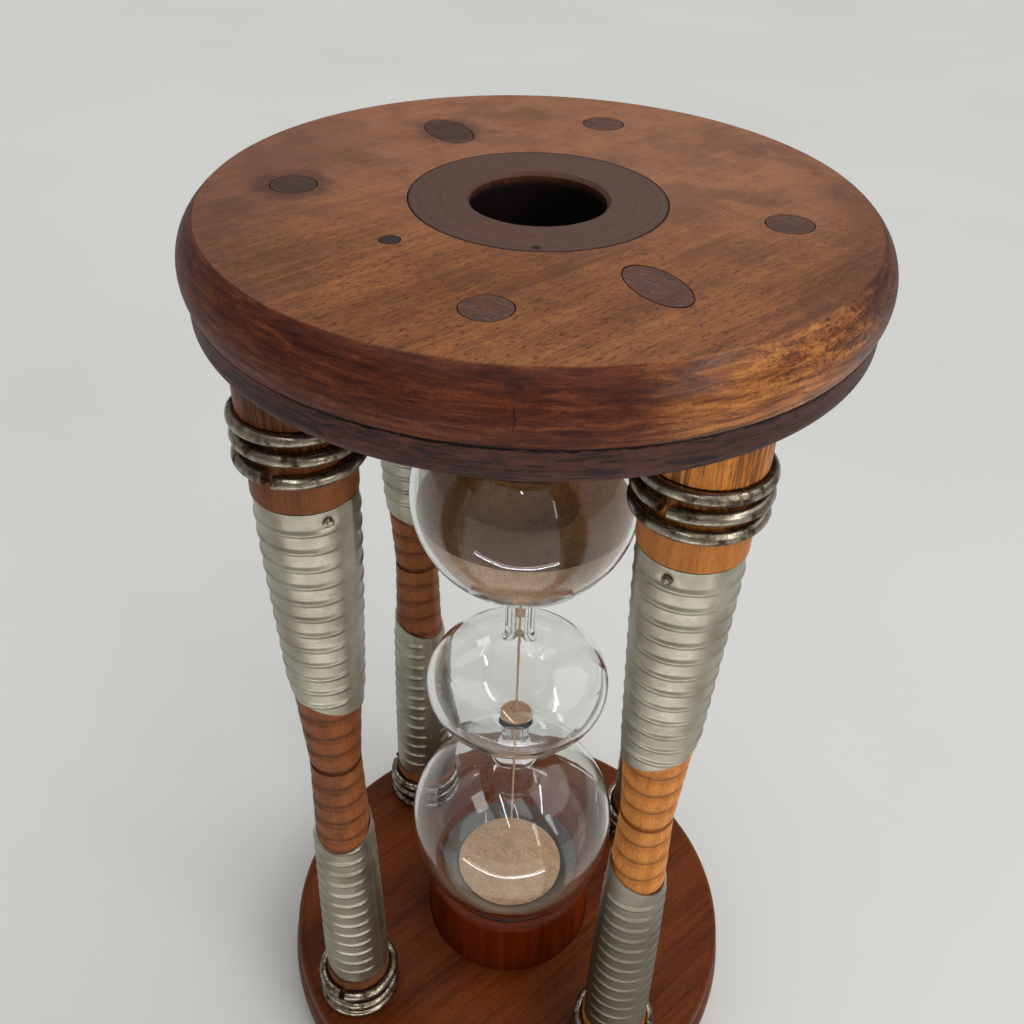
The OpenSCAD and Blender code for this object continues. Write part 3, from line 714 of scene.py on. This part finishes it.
def make_sand(name, side, top):
    """Fine pinkish-beige sand; its open, up-facing surface takes a darker, browner top colour, which is
    painted shade.
    """
    shader = Shader(name)
    grains = shader.cells(shader.place, 3.2)
    tone = shader.noise(shader.place, 0.3, 3.0, 0.6)
    normal = shader.add("ShaderNodeTexCoord").outputs["Normal"]
    # Painted shade: faces turned upward get the darker top colour.
    shaded_open_face = shader.step(shader.split(normal)[2], 0.35, 0.75)
    colour = shader.mix(shaded_open_face, side, top)
    drift = shader.ramp(tone, *grey_tints((0.35, (0.88, 0.87, 0.86)), (0.65, (1.08, 1.08, 1.08))))
    colour = shader.mix(1.0, colour, drift, "MULTIPLY")
    grain_tone = shader.split(grains["Color"])[0]
    speckle = shader.ramp(grain_tone, *grey_tints(
        (0.0, (0.6, 0.56, 0.53)), (0.3, (0.95, 0.94, 0.93)), (1.0, (1.12, 1.12, 1.12))))
    shader.set(
        Base_Color=shader.mix(1.0, colour, speckle, "MULTIPLY"),
        Roughness=0.9,
        Specular_IOR_Level=0.15,
        Normal=shader.bump(grains["Distance"], 0.15),
    )
    return shader


def make_felt():
    """Dark felt with a matted nap."""
    shader = Shader("felt")
    fuzz = shader.noise(shader.place, 3.0, 4.0, 0.7)
    shader.set(
        Base_Color=shader.ramp(fuzz, (0.3, srgb(40, 34, 30)), (0.7, srgb(66, 57, 50))),
        Roughness=0.95,
        Sheen_Weight=0.4,
        Normal=shader.bump(fuzz, 0.2),
    )
    return shader


def make_floor():
    """A wide pale tabletop, faintly clouded."""
    bpy.ops.mesh.primitive_plane_add(size=8.0)
    floor = bpy.context.object
    floor.name = "floor"
    shader = Shader("floor")
    cloud = shader.noise(shader.place, 0.004, 2.0, 0.5)
    shader.set(
        Base_Color=shader.ramp(cloud, (0.3, srgb(235, 235, 231)), (0.7, srgb(240, 240, 236))),
        Roughness=0.9,
        Specular_IOR_Level=0.0,
    )
    floor.data.materials.append(shader.material)


def dress(node, shader):
    """Gives a CAD node a material, leaving its mesh as it is."""
    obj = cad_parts[node]
    if not obj.material_slots:
        obj.data.materials.append(None)
    for slot in obj.material_slots:
        slot.link = "OBJECT"
        slot.material = shader.material


# ---- Pieces built in more detail than the CAD ----

def add_skins(name, skins, shader):
    """One smooth mesh of several skins; each is a run of loops, closed on itself or capped."""
    points, faces = [], []
    for loops, closed in skins:
        first, count = len(points), len(loops[0])
        points.extend(point for loop in loops for point in loop)
        spans = len(loops) if closed else len(loops) - 1
        for i in range(spans):
            here, there = first + i * count, first + (i + 1) % len(loops) * count
            for j in range(count):
                k = (j + 1) % count
                faces.append((here + j, here + k, there + k, there + j))
        if not closed:
            faces.append(tuple(range(first, first + count)))
            faces.append(tuple(range(len(points) - count, len(points))))
    mesh = bpy.data.meshes.new(name)
    mesh.from_pydata(points, [], faces)
    shape = bmesh.new()
    shape.from_mesh(mesh)
    bmesh.ops.recalc_face_normals(shape, faces=shape.faces)
    shape.to_mesh(mesh)
    shape.free()
    mesh.shade_smooth()
    mesh.set_sharp_from_angle(angle=math.radians(50))
    mesh.materials.append(shader.material)
    obj = bpy.data.objects.new(name, mesh)
    bpy.context.scene.collection.objects.link(obj)
    return obj


def hand_over(piece, body, node):
    """Puts a detailed piece in a CAD node's place."""
    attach(piece, body)
    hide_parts(node)


def smoothstep(value, low, high):
    share = np.clip((value - low) / (high - low), 0.0, 1.0)
    return share * share * (3 - 2 * share)


RING_COUNT = 3
RING_STATIONS = 120
WIRE_SIDES = 14
WIRE_RADIUS = 1.55 * MM


def ring_loops(axis, points, height, chance):
    """One split ring, a little tilted and out of round, its ends sprung apart."""
    level = points[np.abs(points[:, 2] - height) < WIRE_RADIUS] - np.array(axis)
    radius = spread(level).max() - WIRE_RADIUS
    angles = np.sort(np.unique(np.arctan2(level[:, 1], level[:, 0]).round(3)))
    gaps = np.diff(np.append(angles, angles[0] + 2 * math.pi))
    widest = gaps.argmax()
    start = angles[widest] + gaps[widest]
    turn = 2 * math.pi - gaps[widest]
    tilt_way, wobble_way = chance.uniform(0.0, 2 * math.pi, 2)
    tilt = chance.uniform(0.3, 0.6) * MM
    loops = []
    for station in range(RING_STATIONS + 1):
        share = station / RING_STATIONS
        angle = start + share * turn
        out = Vector((math.cos(angle), math.sin(angle), 0.0))
        lift = tilt * math.cos(angle - tilt_way) + 0.35 * MM * (2 * share - 1) ** 7
        reach = radius + 0.12 * MM * math.cos(2 * angle - wobble_way)
        centre = axis + out * reach + Vector((0.0, 0.0, height + lift))
        loops.append([
            centre + WIRE_RADIUS * (out * math.cos(side) + Vector((0.0, 0.0, math.sin(side))))
            for side in np.linspace(0.0, 2 * math.pi, WIRE_SIDES, endpoint=False)
        ])
    return loops


def build_rings(corner, level, shader, chance):
    """Three split steel rings sprung into the seat of a quill."""
    node = f"{corner}_{level}_rings"
    low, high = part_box(node)
    points = mesh_points(node)
    heights = np.linspace(low.z + WIRE_RADIUS, high.z - WIRE_RADIUS, RING_COUNT)
    axis = post_axis(corner)
    skins = [(ring_loops(axis, points, height, chance), False) for height in heights]
    hand_over(add_skins(f"{corner}_{level}_wire", skins, shader), STAND, node)


SLEEVE_ROWS = 210
SLEEVE_COLUMNS = 120
TIN_THICKNESS = 0.5 * MM
RIB_RISE = 0.36 * MM
LAP_RISE = 0.3 * MM
DENTS = 9
TACK_DIMPLE = 0.22 * MM
# Direction the lapped seam of each post's sleeves faces, in degrees.
SEAM_AZIMUTHS = {"front_left": -28, "front_right": -172, "back_left": -60, "back_right": 20}


def sleeve_profile(node, axis, azimuth):
    """Smooth radius of a CAD sleeve as a curve of height, and where its ribs stand, 0 to 1."""
    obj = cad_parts[node]
    corners = [obj.matrix_world @ vertex.co for vertex in obj.data.vertices]
    tree = BVHTree.FromPolygons(corners, [tuple(face.vertices) for face in obj.data.polygons])
    low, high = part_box(node)
    out = Vector((math.cos(azimuth), math.sin(azimuth), 0.0))
    start = high.x - low.x
    heights, radii = [], []
    for height in np.arange(low.z + 0.1 * MM, high.z, 0.2 * MM):
        spot = tree.ray_cast(axis + start * out + Vector((0.0, 0.0, height)), -out, start)[0]
        if spot is not None:
            heights.append(height)
            radii.append((spot - axis).dot(out))
    heights, radii = np.array(heights), np.array(radii)
    flat = np.ones(len(heights), bool)
    for limit in (0.12 * MM, 0.07 * MM, 0.04 * MM):
        curve = np.polyfit(heights[flat], radii[flat], 4)
        flat = radii - np.polyval(curve, heights) < limit
    ribs = np.clip(radii - np.polyval(curve, heights), 0.0, None)
    return curve, heights, ribs / ribs.max()


def build_sleeve(corner, level, shader, chance):
    """A ribbed tin sleeve, lapped at the back of its ribs, dented and snipped off aslant."""
    node = f"{corner}_{level}_sleeve"
    axis = post_axis(corner)
    points = mesh_points(node) - np.array(axis)
    snipped_low = level == "upper"
    square_end = points[:, 2].max() if snipped_low else points[:, 2].min()
    tip = points[points[:, 2].argmin() if snipped_low else points[:, 2].argmax()]
    long_side = math.atan2(tip[1], tip[0])
    turned = np.arctan2(points[:, 1], points[:, 0]) - long_side
    short = points[np.cos(turned) < math.cos(math.radians(175))]
    short_end = short[:, 2].min() if snipped_low else short[:, 2].max()
    curve, heights, ribs = sleeve_profile(node, axis, long_side)

    share = np.linspace(0.0, 1.0, SLEEVE_ROWS)[:, None]
    angle = np.linspace(0.0, 2 * math.pi, SLEEVE_COLUMNS, endpoint=False)[None, :]
    middle, swing = (tip[2] + short_end) / 2, (tip[2] - short_end) / 2
    height = square_end + share * (middle - square_end)
    height = height + smoothstep(share, 0.6, 1.0) * swing * np.cos(angle - long_side)

    seam = math.radians(SEAM_AZIMUTHS[corner])
    past_seam = np.mod(angle - seam + math.pi, 2 * math.pi) - math.pi
    pressed = smoothstep(np.abs(past_seam), math.radians(12), math.radians(24))
    lap = smoothstep(past_seam, 0.0, math.radians(3)) * np.exp(-np.clip(past_seam, 0.0, None) / 0.6)
    radius = np.polyval(curve, height) + LAP_RISE * lap
    radius = radius + RIB_RISE * pressed * np.interp(height, heights, ribs) ** 1.3
    wave = chance.uniform(0.0, 2 * math.pi, 3)
    radius = radius + 0.07 * MM * np.sin(2 * angle + wave[0]) * np.sin(90 * height + wave[1])
    for _ in range(DENTS):
        where, at = chance.uniform(0.0, 2 * math.pi), chance.uniform(height.min(), height.max())
        size, depth = chance.uniform(1.2, 3.0) * MM, chance.uniform(0.06, 0.2) * MM
        sideways = np.sin((angle - where) / 2) * 2 * radius
        radius = radius - depth * np.exp(-(sideways ** 2 + (height - at) ** 2) / size ** 2)

    for tack in loose_parts("sleeve_tacks"):
        spot = middle_of(tack) - axis
        if level == "upper" and math.hypot(spot.x, spot.y) < radius.max():
            sideways = np.sin((angle - math.atan2(spot.y, spot.x)) / 2) * 2 * radius
            away = np.sqrt(sideways ** 2 + (height - spot.z) ** 2)
            radius = radius - TACK_DIMPLE * smoothstep(away, 2.6 * MM, 0.9 * MM)

    inside = np.polyval(curve, height[[-1, 0], :]) - TIN_THICKNESS
    radius = np.concatenate((radius, inside))
    height = np.concatenate((height, height[[-1, 0], :]))
    x, y = axis.x + radius * np.cos(angle), axis.y + radius * np.sin(angle)
    loops = np.stack((x, y, height), axis=2).tolist()
    hand_over(add_skins(f"{corner}_{level}_tin", [(loops, True)], shader), STAND, node)


STREAM_SIDES = 10
STREAM_STEP = 0.6 * MM


def build_stream(shader, chance):
    """The falling thread of sand, a loose column of grains that thins and thickens."""
    skins = []
    for part in loose_parts("sand_stream"):
        centre = middle_of(part)
        loops = []
        for height in np.arange(part[:, 2].min(), part[:, 2].max(), STREAM_STEP):
            drift = chance.uniform(-0.06, 0.06, 2) * MM
            loops.append([
                Vector((
                    centre.x + drift[0] + chance.uniform(0.22, 0.42) * MM * math.cos(side),
                    centre.y + drift[1] + chance.uniform(0.22, 0.42) * MM * math.sin(side),
                    height,
                ))
                for side in np.linspace(0.0, 2 * math.pi, STREAM_SIDES, endpoint=False)
            ])
        skins.append((loops, False))
    hand_over(add_skins("sand_thread", skins, shader), VIAL, "sand_stream")


# ---- Dressing ----

make_camera()
make_lights()
make_floor()

base_head = make_wood(
    "base_head_wood", BOARD_GRAIN, srgb(120, 57, 16), srgb(80, 33, 8), srgb(104, 50, 18), 2.0,
    roughness=0.34, specular=0.08)
lower_hub = make_wood(
    "lower_hub_wood", UPRIGHT, srgb(124, 44, 6), srgb(80, 22, 2), srgb(84, 34, 12), 4.0,
    roughness=0.3, specular=0.08)
peg = make_peg()
plug = make_wood(
    "plug_wood", UPRIGHT, srgb(78, 58, 50), srgb(54, 42, 38), srgb(62, 48, 42), 9.0, specular=0.1)
dowel = make_wood(
    "dowel_wood", UPRIGHT, srgb(170, 130, 90), srgb(140, 100, 70), srgb(120, 84, 56), 6.0)
# One quill wood in two copies: the front-right posts' lighter copy is painted light, the others' darker
# copy is painted shade.
lit_quill = make_quill("bright_quill_wood", srgb(232, 148, 66), srgb(178, 102, 40), 7.0)
shaded_quill = make_quill("dark_quill_wood", srgb(158, 90, 42), srgb(106, 58, 30), 8.0)
steel = make_steel()
tin = make_tin()
# Each sand's second colour is its open surface, darkened as painted shade; darkest in the top bulb
# under the head.
sand = make_sand("sand", srgb(182, 152, 126), srgb(172, 142, 114))
shaded_sand = make_sand("shaded_sand", srgb(182, 150, 122), srgb(142, 98, 60))
felt = make_felt()

DRESSING = {
    "upper_head_board": make_top_board(),
    "upper_head_backing": make_backing(),
    "upper_hub": make_hub(),
    "upper_head_pegs": peg,
    "upper_hub_pegs": peg,
    "upper_head_plug": plug,
    "lower_head_board": base_head,
    "lower_head_backing": base_head,
    "lower_hub": lower_hub,
    "lower_head_pegs": peg,
    "lower_hub_pegs": peg,
    "upper_seat_felt": felt,
    "lower_seat_felt": felt,
    "glass_vial": make_glass(),
    "sand_top": shaded_sand,
    "sand_middle": sand,
    "sand_bottom": sand,
    "sleeve_tacks": steel,
    "joint_dowels": dowel,
    "upper_end_dowels": dowel,
    "lower_end_dowels": dowel,
}
for corner in CORNERS:
    quill = lit_quill if corner == "front_right" else shaded_quill
    for level in LEVELS:
        DRESSING[f"{corner}_{level}_quill"] = quill
for node_name, shader in DRESSING.items():
    dress(node_name, shader)

chance = np.random.default_rng(11)
build_stream(sand, chance)
for corner in CORNERS:
    for level in LEVELS:
        build_rings(corner, level, steel, chance)
        build_sleeve(corner, level, tin, chance)
